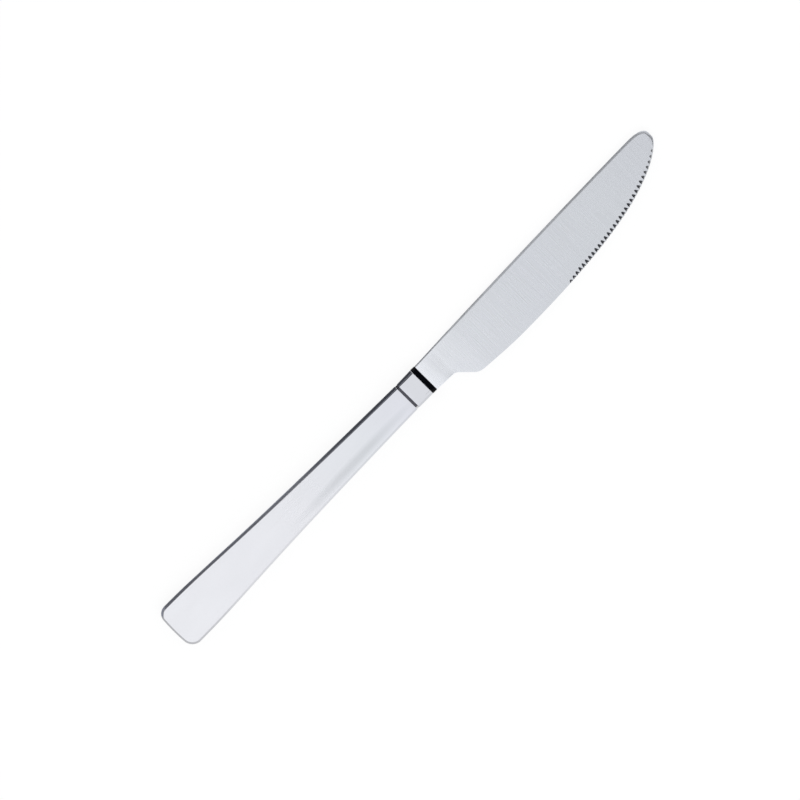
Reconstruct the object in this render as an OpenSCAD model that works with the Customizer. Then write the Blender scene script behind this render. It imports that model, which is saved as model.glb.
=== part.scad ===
// Table knife: a ground and serrated steel blade whose tang runs through a black neck ring
// and a steel collar into a hollow handle, which is two pressed steel shells filled with cement.
// The knife lies flat on its back shell: +X to the tip, +Y to the spine, +Z out of the serrated face.
// The origin is under the middle of the knife's outline, on the plane that the handle rests on.

/* [Handle shells] */
// Length of the shells, from the butt end to the groove
shell_len = 105.2; // [90:0.1:115]
// Width of the handle at the butt
butt_w = 16.1; // [14:0.1:18]
// Width of the handle at the neck
neck_w = 10.3; // [9:0.1:12]
// Thickness of the whole handle, front face to back face
handle_t = 6.4; // [5.6:0.1:8]
// Wall of a pressed shell
wall_t = 0.9; // [0.6:0.05:1.2]
// Radius of the butt's corner on the spine side
corner_r_spine = 2.7; // [1.6:0.1:4]
// Radius of the butt's corner on the edge side
corner_r_edge = 3.8; // [1.6:0.1:4]
// How far the middle of the butt end bulges past its corners
butt_bulge = 0.5; // [0:0.1:1]
// Width of the side bevels at the butt
bevel_w_butt = 1.05; // [0.5:0.05:1.5]
// Width of the side bevels at the neck
bevel_w_neck = 1.3; // [0.5:0.05:1.6]
// Width of the bevel round the butt end
bevel_w_end = 0.65; // [0.4:0.05:1.2]
// Depth of every bevel, measured down from the face
bevel_depth = 0.8; // [0.4:0.05:1.1]

/* [Collar and neck ring] */
// Width of the open groove between the shells and the collar
groove_w = 0.9; // [0.4:0.1:1.2]
// Depth of the groove
groove_depth = 0.2; // [0.15:0.05:0.5]
// Length of the collar
collar_len = 6.3; // [5:0.1:9]
// Width of the collar's side bevels where it meets the neck ring
collar_bevel_w = 1.15; // [0.5:0.05:1.6]
// Length of the collar's spigot inside the shells, groove included
spigot_len = 6; // [4:0.5:10]
// Length of the neck ring
ring_len = 1.8; // [1.2:0.1:3]
// Thickness of the neck ring where it meets the blade
ring_end_t = 3.4; // [3.2:0.1:5]

/* [Blade] */
// Length of the blade in front of the neck ring
blade_len = 105.8; // [90:0.1:120]
// Thickness of the blade at its shoulder
shoulder_t = 3; // [2.6:0.1:3.2]
// Thickness of the spine above the heel
spine_t = 2.2; // [1.6:0.1:2.6]
// Thickness of the blade at its nose
nose_t = 0.7; // [0.5:0.1:1.2]
// Thickness that is left at the ground edge
edge_t = 0.4; // [0.3:0.05:0.5]
// How far the spine rises above the neck by the start of the nose
spine_rise = 2.35; // [1:0.05:4]
// Width of the eased corners along the spine
spine_ease_w = 0.5; // [0.2:0.05:0.8]
// Depth of the eased corners along the spine
spine_ease_depth = 0.25; // [0.05:0.05:0.3]
// Length of the narrow neck between the shoulder and the heel
heel_start = 8; // [6:0.1:12]
// How far the underside of the neck drops on its way to the heel
neck_drop = 0.35; // [0:0.05:1]
// Length of the slope of the heel
heel_run = 5.45; // [4:0.05:9]
// Depth of the heel's lower corner below the knife's axis
heel_depth = 10.95; // [9:0.05:11.5]
// Fillet radius at the top of the heel
heel_fillet_r = 2.6; // [1:0.1:4]
// Corner radius at the bottom of the heel
heel_corner_r = 5; // [1:0.1:6]
// Distance from the shoulder to the lowest point of the edge
belly_start = 32; // [28:0.5:42]
// Depth of the lowest point of the edge below the knife's axis
belly_depth = 12.05; // [11.6:0.05:14]
// Height of the nose above the knife's axis
nose_height = 3.75; // [1:0.05:5]
// Length of the blunt front of the nose
nose_flat = 1.3; // [0.8:0.1:2]

/* [Serration] */
// Distance from the shoulder to the first flute
serration_start = 54.65; // [46:0.05:70]
// Least distance from the last flute to the front of the nose
serration_stop = 2.6; // [2:0.1:20]
// Distance between flutes along the knife
flute_pitch = 1.6; // [1.2:0.05:4]
// Radius of the grinding wheel's edge that cuts the flutes
flute_r = 0.5; // [0.4:0.05:1.2]
// Length of a full flute up the front face
flute_run = 1; // [0.8:0.05:2]
// Depth of the scallop that a full flute leaves in the outline
gullet_depth = 0.15; // [0.1:0.05:0.5]

/* [Tang] */
// Length of the tang behind the shoulder
tang_len = 62; // [40:1:80]
// Width of the tang
tang_w = 6; // [4:0.1:6.5]
// Thickness of the tang
tang_t = 2.4; // [1.6:0.1:2.5]
// Radius of the two holes that key the tang into the cement
key_hole_r = 1.4; // [0.8:0.1:1.8]
// Clearance round the tang and the spigot, and of the cement
fit_clear = 0.05; // [0.02:0.01:0.1]

/* [Hidden] */
$fn = 48;
overrun = 0.5;

// Places along the knife, from the butt end
collar_x = shell_len + groove_w;
ring_x = collar_x + collar_len;
shoulder_x = ring_x + ring_len;
overall_len = shoulder_x + blade_len;
spigot_x = collar_x - spigot_len;
tang_x = shoulder_x - tang_len;

// The outline's reach to either side of the axis gives the middle that the origin lies under
outline_mid_y = (max(butt_w / 2, neck_w / 2 + spine_rise) - belly_depth) / 2;

// A Bezier curve's point at a share t of its way
function bezier(p, t) = len(p) == 1
    ? p[0]
    : bezier([for (i = [0 : len(p) - 2]) p[i] + (p[i + 1] - p[i]) * t], t);
function mix(a, b, t) = a + (b - a) * t;
function ease(t) = let (c = min(1, max(0, t))) c * c * (3 - 2 * c);

// A closed solid through rings of points, each ring counterclockwise as seen from the next one.
// Each ring runs down one side and back up the other, so strips across it close the two ends.
module skin(rings) {
    n = len(rings[0]);
    last = (len(rings) - 1) * n;
    walls = [for (r = [0 : len(rings) - 2]) for (i = [0 : n - 1])
        let (a = r * n + i, b = r * n + (i + 1) % n)
        each [[a, a + n, b + n], [a, b + n, b]]];
    first_end = [for (i = [0 : n / 2 - 2]) [i, i + 1, n - 2 - i, n - 1 - i]];
    last_end = [for (f = first_end) [for (k = [3, 2, 1, 0]) last + f[k]]];
    polyhedron([for (ring = rings) each ring], concat(walls, first_end, last_end));
}

// Handle outline: the sides flare from the neck to the butt along one Bezier curve
flare_pull_share = [[0.24, 0.41], [0.22, 1]];
flare_end = max(corner_r_spine, corner_r_edge);
flare_steps = 32;
flare_points = [
    [shell_len, neck_w / 2],
    for (s = flare_pull_share)
        [mix(flare_end, shell_len, s.x), mix(neck_w, butt_w, s.y) / 2],
    [flare_end, butt_w / 2]
];
flare_curve = [for (i = [flare_steps : -1 : 0]) bezier(flare_points, i / flare_steps)];
function handle_half_w(x) = lookup(x, flare_curve);
function bevel_w(x) = mix(bevel_w_butt, bevel_w_neck, min(1, x / shell_len));

// One side of the handle outline, from x_end to the middle of the butt end.
// It lies inside the full outline by a number of bevel widths and by a plain inset.
side_steps = 18;
corner_steps = 6;
corner_least_r = 0.3;
butt_points_share = [0.6, 0.15];
function bulge_x(y) = butt_bulge * pow(2 * y / butt_w, 2);
function handle_side(side, corner_r, bevels, inset, x_end) =
    let (side_inset = bevels * bevel_w_butt + inset)
    let (end_inset = bevels * bevel_w_end + inset)
    let (side_r = max(corner_r, side_inset + corner_least_r))
    let (end_r = max(corner_r, end_inset + corner_least_r))
    let (centre_y = butt_w / 2 - side_r, centre_x = bulge_x(centre_y) + end_r)
    [
        for (i = [0 : side_steps - 1])
            let (x = mix(x_end, centre_x, i / side_steps))
            [x, side * (handle_half_w(x) - bevels * bevel_w(x) - inset)],
        for (i = [0 : corner_steps])
            let (a = 90 * i / corner_steps)
            [centre_x - (end_r - end_inset) * sin(a), side * (centre_y + (side_r - side_inset) * cos(a))],
        for (s = butt_points_share)
            [end_inset + bulge_x(s * centre_y), side * s * centre_y]
    ];
function handle_ring(bevels, inset, z, x_end) =
    let (spine_side = handle_side(1, corner_r_spine, bevels, inset, x_end))
    let (edge_side = handle_side(-1, corner_r_edge, bevels, inset, x_end))
    [
        for (p = spine_side) [p.x, p.y, z],
        for (i = [len(edge_side) - 1 : -1 : 0]) [edge_side[i].x, edge_side[i].y, z]
    ];

// A bevelled wall's inner corners move in by mitres when the wall is offset by a thickness
bevel_angle = atan2(bevel_depth, (bevel_w_butt + bevel_w_neck) / 2);
function side_mitre(offset_t) = offset_t * tan((90 - bevel_angle) / 2);
function face_mitre(offset_t) = offset_t * tan(bevel_angle / 2);
function side_top(offset_t) = handle_t / 2 - bevel_depth - side_mitre(offset_t);

module half_shell() {
    difference() {
        skin([
            handle_ring(0, 0, 0, shell_len),
            handle_ring(0, 0, side_top(0), shell_len),
            handle_ring(1, 0, handle_t / 2, shell_len)
        ]);
        skin([
            handle_ring(0, wall_t, -overrun, shell_len + overrun),
            handle_ring(0, wall_t, side_top(wall_t), shell_len + overrun),
            handle_ring(1, face_mitre(wall_t), handle_t / 2 - wall_t, shell_len + overrun)
        ]);
    }
}

// A bevelled bar's cross-section at x, as a ring for skin
function bar_ring(x, half_w, half_t, bevel_w, bevel_t) =
    let (front = [[half_w, half_t - bevel_t], [half_w - bevel_w, half_t]])
    let (half = [for (p = front) p, for (i = [1, 0]) [-front[i].x, front[i].y]])
    [
        for (p = half) [x, p.x, p.y],
        for (i = [3 : -1 : 0]) [x, half[i].x, -half[i].y]
    ];

// The tang, with rounded end and keying holes, larger all round by grow for its slot and its bed
key_hole_share = [0.28, 0.6];
module tang(grow = 0) {
    bed_len = spigot_x - tang_x;
    linear_extrude(tang_t + 2 * grow, center = true)
        difference() {
            union() {
                translate([tang_x + tang_w / 2, 0])
                    circle(d = tang_w + 2 * grow);
                translate([tang_x + tang_w / 2, -tang_w / 2 - grow])
                    square([tang_len - tang_w / 2 + overrun, tang_w + 2 * grow]);
            }
            for (s = key_hole_share)
                translate([tang_x + s * bed_len, 0])
                    circle(key_hole_r - grow);
        }
}

// Points of the arc that rounds the corner b between a and c, in the order of travel
round_steps = 5;
function rounded(a, b, c, r) =
    let (u = (a - b) / norm(a - b), v = (c - b) / norm(c - b))
    let (half = acos(u * v) / 2, reach = r / tan(half), turn = 180 - 2 * half)
    let (centre = b + (u + v) / norm(u + v) * r / sin(half))
    let (from = b + u * reach - centre, to = b + v * reach - centre)
    [for (i = [0 : round_steps])
        let (t = i / round_steps)
        centre + (from * sin((1 - t) * turn) + to * sin(t * turn)) / sin(turn)];

// Blade outline, measured from the shoulder: first the lower side, with the neck, the heel's slope,
// the underside down to the lowest point, and the belly that sweeps up to the nose
underside_pull_share = 0.7;
belly_pull_share = [0.78, 0.31];
underside_steps = 4;
belly_steps = 36;
neck_start = [0, -neck_w / 2];
heel_top = [heel_start, -neck_w / 2 - neck_drop];
heel_low = [heel_start + heel_run, -heel_depth];
belly_low = [belly_start, -belly_depth];
underside_pull = [mix(heel_low.x, belly_low.x, underside_pull_share), belly_low.y];
heel_corner = rounded(heel_top, heel_low, underside_pull, heel_corner_r);
underside_points = [heel_corner[round_steps], underside_pull, belly_low];
belly_points = [
    belly_low,
    [mix(belly_low.x, blade_len, belly_pull_share[0]), belly_low.y],
    [blade_len, mix(nose_height, belly_low.y, belly_pull_share[1])],
    [blade_len, nose_height - nose_flat / 2]
];
belly = [for (i = [0 : belly_steps]) bezier(belly_points, i / belly_steps)];
edge_curve = concat(
    [neck_start],
    rounded(neck_start, heel_top, heel_low, heel_fillet_r),
    heel_corner,
    [for (i = [1 : underside_steps - 1]) bezier(underside_points, i / underside_steps)],
    belly
);

// Then the spine, which bows up along the blade and rounds down into the nose.
// Each point of the edge has a partner on it, straight above or fanned round the nose.
spine_bow_share = 1.6;
nose_start_share = 0.66;
nose_pull_share = [[0.6, 0], [1, 0.18]];
nose_x = bezier(belly_points, nose_start_share).x;
function spine_y(x) =
    let (v = x / nose_x)
    neck_w / 2 + spine_rise * (spine_bow_share * v - (spine_bow_share - 1) * v * v);
nose_points = [
    [nose_x, spine_y(nose_x)],
    for (s = nose_pull_share)
        [mix(nose_x, blade_len, s.x), mix(spine_y(nose_x), nose_height, s.y)],
    [blade_len, nose_height + nose_flat / 2]
];
belly_first = len(edge_curve) - len(belly);
spine_curve = [for (i = [0 : len(edge_curve) - 1])
    let (t = (i - belly_first) / belly_steps)
    t <= nose_start_share
        ? [edge_curve[i].x, spine_y(edge_curve[i].x)]
        : bezier(nose_points, (t - nose_start_share) / (1 - nose_start_share))];

// Thickness of the blade: it thins from the shoulder to the spine's own size, then to the nose,
// and the grind takes the lower side down to the edge past the heel.
// The spine's eased corners may take no more than a share of the half thickness.
ease_most_share = 0.75;
function spine_half_t(x) =
    mix(shoulder_t, mix(spine_t, nose_t, x / blade_len), ease(x / heel_start)) / 2;
function edge_half_t(x) =
    mix(spine_half_t(x), edge_t / 2, ease((x - heel_start / 2) / (heel_start / 2 + heel_run)));

module blade_body() {
    skin([for (i = [0 : len(edge_curve) - 1])
        let (s = spine_curve[i], e = edge_curve[i])
        let (st = spine_half_t(s.x), et = edge_half_t(e.x))
        let (down = (e - s) / norm(e - s) * min(spine_ease_w, norm(e - s) / 3))
        let (front = [
            [s.x, s.y, st - min(spine_ease_depth, st * ease_most_share)],
            [s.x + down.x, s.y + down.y, st],
            [e.x, e.y, et]
        ])
        [each front, for (k = [2 : -1 : 0]) [front[k].x, front[k].y, -front[k].z]]]);
}

// Serration: flutes ground up the front face at one pitch along the knife, fainter at both ends
function edge_y(x) = lookup(x, belly);
flute_room = blade_len - serration_start - serration_stop;
flute_count = floor(flute_room / flute_pitch) + 1;
flute_tilt = atan2(edge_t, flute_run - gullet_depth);
flute_depth = edge_t + gullet_depth * tan(flute_tilt);
fade_in_flutes = 3;
fade_out_flutes = 6;
faint_share = 0.55;
function flute_share(i) =
    mix(faint_share, 1, min(1, i / fade_in_flutes, (flute_count - 1 - i) / fade_out_flutes));
module flute(share) {
    translate([0, 0, edge_t / 2 - share * flute_depth])
        rotate([flute_tilt, 0, 0])
            translate([0, -overrun, flute_r])
                rotate([-90, 0, 0])
                    cylinder(r = flute_r, h = flute_run / cos(flute_tilt) + 2 * overrun);
}

module place() {
    translate([-overall_len / 2, -outline_mid_y, handle_t / 2])
        children();
}

module blade() {
    color("lightsteelblue")
        place()
            difference() {
                union() {
                    translate([shoulder_x, 0, 0])
                        blade_body();
                    tang();
                }
                translate([shoulder_x, 0, 0])
                    for (i = [0 : flute_count - 1]) {
                        x = serration_start + i * flute_pitch;
                        rise = edge_y(x + flute_pitch / 2) - edge_y(x - flute_pitch / 2);
                        translate([x, edge_y(x)])
                            rotate(atan2(rise, flute_pitch))
                                flute(flute_share(i));
                    }
            }
}

module neck_ring() {
    end_scale_share = ring_end_t / handle_t;
    color("black")
        place()
            difference() {
                skin([
                    bar_ring(ring_x, neck_w / 2, handle_t / 2, collar_bevel_w, bevel_depth),
                    bar_ring(shoulder_x, neck_w / 2, ring_end_t / 2,
                        collar_bevel_w * end_scale_share, bevel_depth * end_scale_share)
                ]);
                tang(fit_clear);
            }
}

// The section of the handle's neck, drawn in all round by an inset
function neck_section(x, inset) =
    let (half_t = handle_t / 2 - inset)
    bar_ring(x, neck_w / 2 - inset, half_t, bevel_w_neck + face_mitre(inset) - inset,
        half_t - side_top(inset));

// The shells' ends butt on a step that is the floor of the groove, and the spigot plugs into them
module collar() {
    spigot_inset = wall_t + fit_clear;
    color("silver")
        place()
            difference() {
                union() {
                    skin([
                        neck_section(collar_x, 0),
                        bar_ring(ring_x, neck_w / 2, handle_t / 2, collar_bevel_w, bevel_depth)
                    ]);
                    skin([for (x = [shell_len + fit_clear, collar_x + overrun])
                        neck_section(x, groove_depth)]);
                    skin([for (x = [spigot_x, collar_x + overrun])
                        neck_section(x, spigot_inset)]);
                }
                tang(fit_clear);
            }
}

module front_shell() {
    color("gainsboro")
        place()
            half_shell();
}

module back_shell() {
    color("gainsboro")
        place()
            mirror([0, 0, 1])
                half_shell();
}

module tang_cement() {
    inset = wall_t + fit_clear;
    bed_end = spigot_x - fit_clear;
    color("tan")
        place()
            difference() {
                skin([
                    handle_ring(1, face_mitre(inset), inset - handle_t / 2, bed_end),
                    handle_ring(0, inset, -side_top(inset), bed_end),
                    handle_ring(0, inset, side_top(inset), bed_end),
                    handle_ring(1, face_mitre(inset), handle_t / 2 - inset, bed_end)
                ]);
                tang(fit_clear);
            }
}

blade();
neck_ring();
collar();
front_shell();
back_shell();
tang_cement();
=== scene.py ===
# %% [markdown]
# # A table knife with a serrated blade
# This knife is a steel blade whose tang runs back through a black ring and a steel collar into a
# hollow handle, which is two pressed shells round a bed of cement. Its solids are already packed at
# their true size. We could dress them as they are, but they are too plain for a close look. So we
# load them, measure them, and make each visible piece again in a finer mesh that fits its solid.

# %% Load the packed knife
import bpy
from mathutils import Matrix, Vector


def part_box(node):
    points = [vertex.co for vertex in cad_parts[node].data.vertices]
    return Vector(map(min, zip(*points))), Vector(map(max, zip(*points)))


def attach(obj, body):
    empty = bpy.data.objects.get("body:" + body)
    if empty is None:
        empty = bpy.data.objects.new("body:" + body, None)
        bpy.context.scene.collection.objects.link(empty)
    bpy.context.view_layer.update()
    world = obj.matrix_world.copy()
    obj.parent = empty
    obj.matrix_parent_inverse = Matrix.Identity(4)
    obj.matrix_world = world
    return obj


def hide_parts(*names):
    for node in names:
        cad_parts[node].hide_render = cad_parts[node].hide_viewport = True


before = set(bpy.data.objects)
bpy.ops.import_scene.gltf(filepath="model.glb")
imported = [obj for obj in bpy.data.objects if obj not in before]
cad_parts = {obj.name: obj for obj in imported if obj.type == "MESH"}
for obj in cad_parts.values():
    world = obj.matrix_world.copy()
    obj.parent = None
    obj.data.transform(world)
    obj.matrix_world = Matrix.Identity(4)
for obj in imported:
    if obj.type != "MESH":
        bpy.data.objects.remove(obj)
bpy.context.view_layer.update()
print("solids in the model:", sorted(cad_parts))

# %% The modules that the lesson needs
import math
import bmesh
import bpy
from mathutils import Matrix, Vector
from mathutils.kdtree import KDTree

# %% [markdown]
# A maker draws a knife flat, from the end of its handle: x runs to the nose, y rises from the axis
# to the spine, and z rises from the middle of the thickness to the serrated face. We draw in
# millimetres in the same way, because the solids were drawn so, and one matrix carries every
# finished mesh to its true place in metres. The main sizes are read from the boxes of the solids.

# %% Sizes of the knife, in millimetres
MM = 0.001
shell_low, shell_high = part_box("front_shell")
collar_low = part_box("collar")[0]
ring_low, ring_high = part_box("neck_ring")
blade_low, blade_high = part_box("blade")
axis_y = (shell_low.y + shell_high.y) / 2
knife_origin = Vector((shell_low.x, axis_y, shell_low.z))
knife_to_frame = Matrix.Translation(knife_origin) @ Matrix.Scale(MM, 4)
shell_len = (shell_high.x - shell_low.x) / MM
butt_w = (shell_high.y - shell_low.y) / MM
handle_t = 2 * (shell_high.z - shell_low.z) / MM
neck_w = (ring_high.y - ring_low.y) / MM
spigot_x = (collar_low.x - shell_low.x) / MM
ring_x = (ring_low.x - shell_low.x) / MM
shoulder_x = (ring_high.x - shell_low.x) / MM
tang_x = (blade_low.x - shell_low.x) / MM
blade_len = (blade_high.x - ring_high.x) / MM
belly_depth = (axis_y - blade_low.y) / MM
print(f"handle {shell_len:.1f} by {butt_w:.1f} by {handle_t:.1f} mm, neck {neck_w:.1f} mm wide")
print(f"blade {blade_len:.1f} mm, its edge {belly_depth:.2f} mm below the axis")

# %% [markdown]
# The knife's outlines are smooth curves: the handle's long flare, the sweep of the belly, the bow of
# the spine. They could be traced point by point, but a traced line wobbles. A Bezier curve has three
# or four points to set, so we write the one rule for a point on such a curve, and use it throughout.

# %% Helpers for curves
def mix(a, b, share):
    return a + (b - a) * share


def ease(share):
    held = min(1, max(0, share))
    return held * held * (3 - 2 * held)


def bezier(points, share):
    """The point at a share of the way along a Bezier curve."""
    points = [Vector(p) for p in points]
    while len(points) > 1:
        points = [a.lerp(b, share) for a, b in zip(points, points[1:])]
    return points[0]


def height_at(curve, x):
    """The height of a curve at x, where its points run towards larger x."""
    for a, b in zip(curve, curve[1:]):
        if x <= b.x:
            return mix(a.y, b.y, (max(x, a.x) - a.x) / (b.x - a.x))
    return curve[-1].y


def corner_arc(before, corner, after, radius, steps):
    """Points of the arc that rounds a corner, in the order of travel."""
    u = (before - corner).normalized()
    v = (after - corner).normalized()
    half = math.acos(u.dot(v)) / 2
    centre = corner + (u + v).normalized() * (radius / math.sin(half))
    start = corner + u * (radius / math.tan(half)) - centre
    end = corner + v * (radius / math.tan(half)) - centre
    turn = math.pi - 2 * half
    shares = [i / steps for i in range(steps + 1)]
    return [centre + (start * math.sin((1 - s) * turn) + end * math.sin(s * turn)) / math.sin(turn)
            for s in shares]


print("halfway along a test curve:", bezier([(0, 0), (1, 0), (1, 1)], 0.5))

# %% [markdown]
# Seen from above, the handle is narrow at the neck and flares to a blunt butt with rounded corners,
# which is softer on the edge side. One function gives a point of that outline, and moves it inwards
# where asked, by a share of the bevel's width or by a plain inset. Every ring of the shells comes
# from it, so the outer skin, the bevel's inner line and the hollow all follow one another.

# %% The flare of the handle
CORNER_R = {1: 3.3, -1: 4}
FLARE_END = max(CORNER_R.values())
FLARE_SAMPLES = 160
flare_points = [
    (shell_len, neck_w / 2),
    (mix(FLARE_END, shell_len, 0.24), mix(neck_w, butt_w, 0.41) / 2),
    (mix(FLARE_END, shell_len, 0.22), butt_w / 2),
    (FLARE_END, butt_w / 2),
]
flare = [bezier(flare_points, 1 - i / FLARE_SAMPLES) for i in range(FLARE_SAMPLES + 1)]
print("half width halfway along the handle:", round(height_at(flare, shell_len / 2), 2), "mm")

# %% The outline of the handle
NECK_BEVEL_W = 1.3
BUTT_BEVEL_W = 1.05
END_BEVEL_W = 0.76
BUTT_BULGE = 0.5
SIDE_STEPS = 56
CORNER_STEPS = 12
END_STEPS = 8


def side_bevel_w(x):
    return mix(BUTT_BEVEL_W, NECK_BEVEL_W, min(1, x / shell_len))


def butt_curve_x(y):
    return BUTT_BULGE * (2 * y / butt_w) ** 2


def handle_point(side, step, bevels, inset):
    """A point of the outline, on the spine's side (1) or the edge's (-1). Steps count from the neck."""
    radius = CORNER_R[side]
    centre_y = butt_w / 2 - radius
    centre_x = butt_curve_x(centre_y) + radius
    if step <= SIDE_STEPS:
        x = mix(shell_len, centre_x, step / SIDE_STEPS)
        return x, side * (height_at(flare, x) - bevels * side_bevel_w(x) - inset)
    if step <= SIDE_STEPS + CORNER_STEPS:
        angle = math.radians(90) * (step - SIDE_STEPS) / CORNER_STEPS
        reach_x = radius - bevels * END_BEVEL_W - inset
        reach_y = radius - bevels * BUTT_BEVEL_W - inset
        return centre_x - reach_x * math.sin(angle), side * (centre_y + reach_y * math.cos(angle))
    y = centre_y * (1 - (step - SIDE_STEPS - CORNER_STEPS) / END_STEPS)
    return butt_curve_x(y) + bevels * END_BEVEL_W + inset, side * y


def bevel_w_at(side, step):
    """The bevel's own width at a step of the outline."""
    if step <= SIDE_STEPS:
        return side_bevel_w(handle_point(side, step, 0, 0)[0])
    return mix(BUTT_BEVEL_W, END_BEVEL_W, min(1, (step - SIDE_STEPS) / CORNER_STEPS))


print("half widths at the butt and the neck:", handle_point(1, SIDE_STEPS, 0, 0)[1],
      handle_point(1, 0, 0, 0)[1])

# %% [markdown]
# A pressed shell has no knife-sharp corners. The press rolls the wall over into the bevel in a
# broad round, and the polishing wheel rounds the border of the face by a fraction of a millimetre.
# These rounds catch the light along the handle. A bevel modifier could make them, but its width
# would wander where the bevels meet at the butt. So we work out the wall's section instead, as one
# list of distances in from the outline and heights.

# %% The section of a shell's wall
WALL_T = 0.9
BEVEL_DEPTH = 0.8
SEAM_R = 0.06
SEAM_MIDDLE = 0.3 * SEAM_R
WALL_CORNER_R = 2.2
FACE_CORNER_R = 0.3
ARC_STEPS = 6
bevel_angle = math.atan2(BEVEL_DEPTH, (BUTT_BEVEL_W + NECK_BEVEL_W) / 2)


def side_top(offset):
    """The height where the upright side meets the bevel, for a wall moved in by an offset."""
    return handle_t / 2 - BEVEL_DEPTH - offset * math.tan((math.pi / 2 - bevel_angle) / 2)


def face_mitre(offset):
    return offset * math.tan(bevel_angle / 2)


def outer_section(bevel_w):
    """Points (distance in from the outline, height) from the seam up to the face."""
    seam = [Vector((SEAM_R, 0)), Vector((SEAM_MIDDLE, SEAM_MIDDLE)), Vector((0, SEAM_R))]
    low = Vector((0, side_top(0)))
    high = Vector((bevel_w, handle_t / 2))
    across = Vector((butt_w / 2, handle_t / 2))
    wall_round = corner_arc(Vector((0, 0)), low, high, WALL_CORNER_R, ARC_STEPS)
    face_round = corner_arc(low, high, across, FACE_CORNER_R, ARC_STEPS)
    return seam + wall_round + face_round


section_count = len(outer_section(BUTT_BEVEL_W))
print(f"{section_count} points in the wall's section, bevel at {math.degrees(bevel_angle):.1f} degrees")

# %% [markdown]
# A shell is then a stack of rings. Each ring runs from the neck along the spine's side, round the
# butt and back, so the stack is open at the neck. We could extrude and inset faces by hand, but a
# function that skins any stack of rings will serve the shells, the blade and the tang alike. Strips
# across the first and last rings close them, and the open end gets faces of its own.

# %% Skin a stack of rings
def skin_between(mesh, verts):
    for lower, upper in zip(verts, verts[1:]):
        for i in range(len(lower) - 1):
            mesh.faces.new((lower[i], lower[i + 1], upper[i + 1], upper[i]))


def strips_across(mesh, ring):
    last = len(ring) - 1
    for i in range(last // 2 - 1):
        mesh.faces.new((ring[i], ring[i + 1], ring[last - i - 1], ring[last - i]))
    middle = last // 2
    mesh.faces.new((ring[middle - 1], ring[middle], ring[middle + 1]))


def close_solid_end(mesh, verts):
    for lower, upper in zip(verts, verts[1:]):
        mesh.faces.new((lower[0], upper[0], upper[-1], lower[-1]))


def close_hollow_end(mesh, verts):
    """Joins the outer half of the rings to the inner half, so that the end shows the wall."""
    for k in range(len(verts) // 2 - 1):
        for end in (0, -1):
            mesh.faces.new((verts[k][end], verts[k + 1][end], verts[-k - 2][end], verts[-k - 1][end]))
    mesh.faces.new((verts[0][0], verts[0][-1], verts[-1][-1], verts[-1][0]))


def skin(rings, hollow=False):
    mesh = bmesh.new()
    verts = [[mesh.verts.new(point) for point in ring] for ring in rings]
    skin_between(mesh, verts)
    strips_across(mesh, verts[0])
    strips_across(mesh, verts[-1])
    close_end = close_hollow_end if hollow else close_solid_end
    close_end(mesh, verts)
    bmesh.ops.recalc_face_normals(mesh, faces=mesh.faces)
    if mesh.calc_volume(signed=True) < 0:
        bmesh.ops.reverse_faces(mesh, faces=mesh.faces)
    return mesh


print("skin() closes a stack of rings and turns it the right side out")

# %% [markdown]
# Large flat faces beside narrow rounds give Blender trouble: plain smooth shading bends the flat
# face's light towards the round. We could mark every border sharp, but then each round would show as
# a hard line. The Weighted Normal modifier lets the large faces lead, so flats stay flat and rounds
# stay soft. Only true corners, which turn by more than a set angle, are marked sharp.

# %% Turn a mesh into a piece of the knife
SHARP_ANGLE = 38


def make_object(mesh, name):
    """A Blender object from a mesh, as large as the mesh is."""
    for face in mesh.faces:
        face.smooth = True
    for edge in mesh.edges:
        edge.smooth = edge.calc_face_angle(math.pi) < math.radians(SHARP_ANGLE)
    data = bpy.data.meshes.new(name)
    mesh.to_mesh(data)
    mesh.free()
    made = bpy.data.objects.new(name, data)
    bpy.context.scene.collection.objects.link(made)
    return made


def make_piece(mesh, name):
    """An object from a mesh in millimetres, carried to its place in the frame."""
    mesh.transform(knife_to_frame)
    return make_object(mesh, name)


def let_flat_faces_lead(piece):
    leader = piece.modifiers.new("flat faces lead", "WEIGHTED_NORMAL")
    leader.keep_sharp = True
    print(f"{piece.name}: {len(piece.data.polygons)} faces")


# %% [markdown]
# The two handle shells are pressed from sheet, and meet at the seam round the knife's middle. The
# outer half of each stack comes from the section above, and the inner half is the wall's other side,
# so the shell is a real hollow pressing and not a block. The back shell is the same press work
# turned over, so one function makes both.

# %% Rings of a shell
STEPS = SIDE_STEPS + CORNER_STEPS + END_STEPS


def whole_ring(points_of_side):
    """One ring, from the two sides' points, that meet in the middle of the butt."""
    spine_side, edge_side = points_of_side(1), points_of_side(-1)
    return spine_side + edge_side[-2::-1]


def outer_ring(level, face_sign):
    def points(side):
        made = []
        for step in range(STEPS + 1):
            bevel_w = bevel_w_at(side, step)
            inward, height = outer_section(bevel_w)[level]
            x, y = handle_point(side, step, inward / bevel_w, 0)
            made.append(Vector((x, y, face_sign * height)))
        return made
    return whole_ring(points)


def inner_ring(bevels, inset, height):
    def points(side):
        spots = [handle_point(side, step, bevels, inset) for step in range(STEPS + 1)]
        return [Vector((x, y, height)) for x, y in spots]
    return whole_ring(points)


def inner_levels():
    """The hollow's section from its ceiling down to the seam, in as many points as the outer one."""
    ceiling = (1, face_mitre(WALL_T), handle_t / 2 - WALL_T)
    shoulder = (0, WALL_T, side_top(WALL_T))
    seam = (0, WALL_T, 0)
    slope = section_count // 2
    rise = section_count - 1 - slope
    levels = [[mix(a, b, i / slope) for a, b in zip(ceiling, shoulder)] for i in range(slope)]
    levels += [[mix(a, b, i / rise) for a, b in zip(shoulder, seam)] for i in range(rise + 1)]
    return levels


print("points in a ring:", 2 * STEPS + 1, "and rings inside:", len(inner_levels()))

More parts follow.
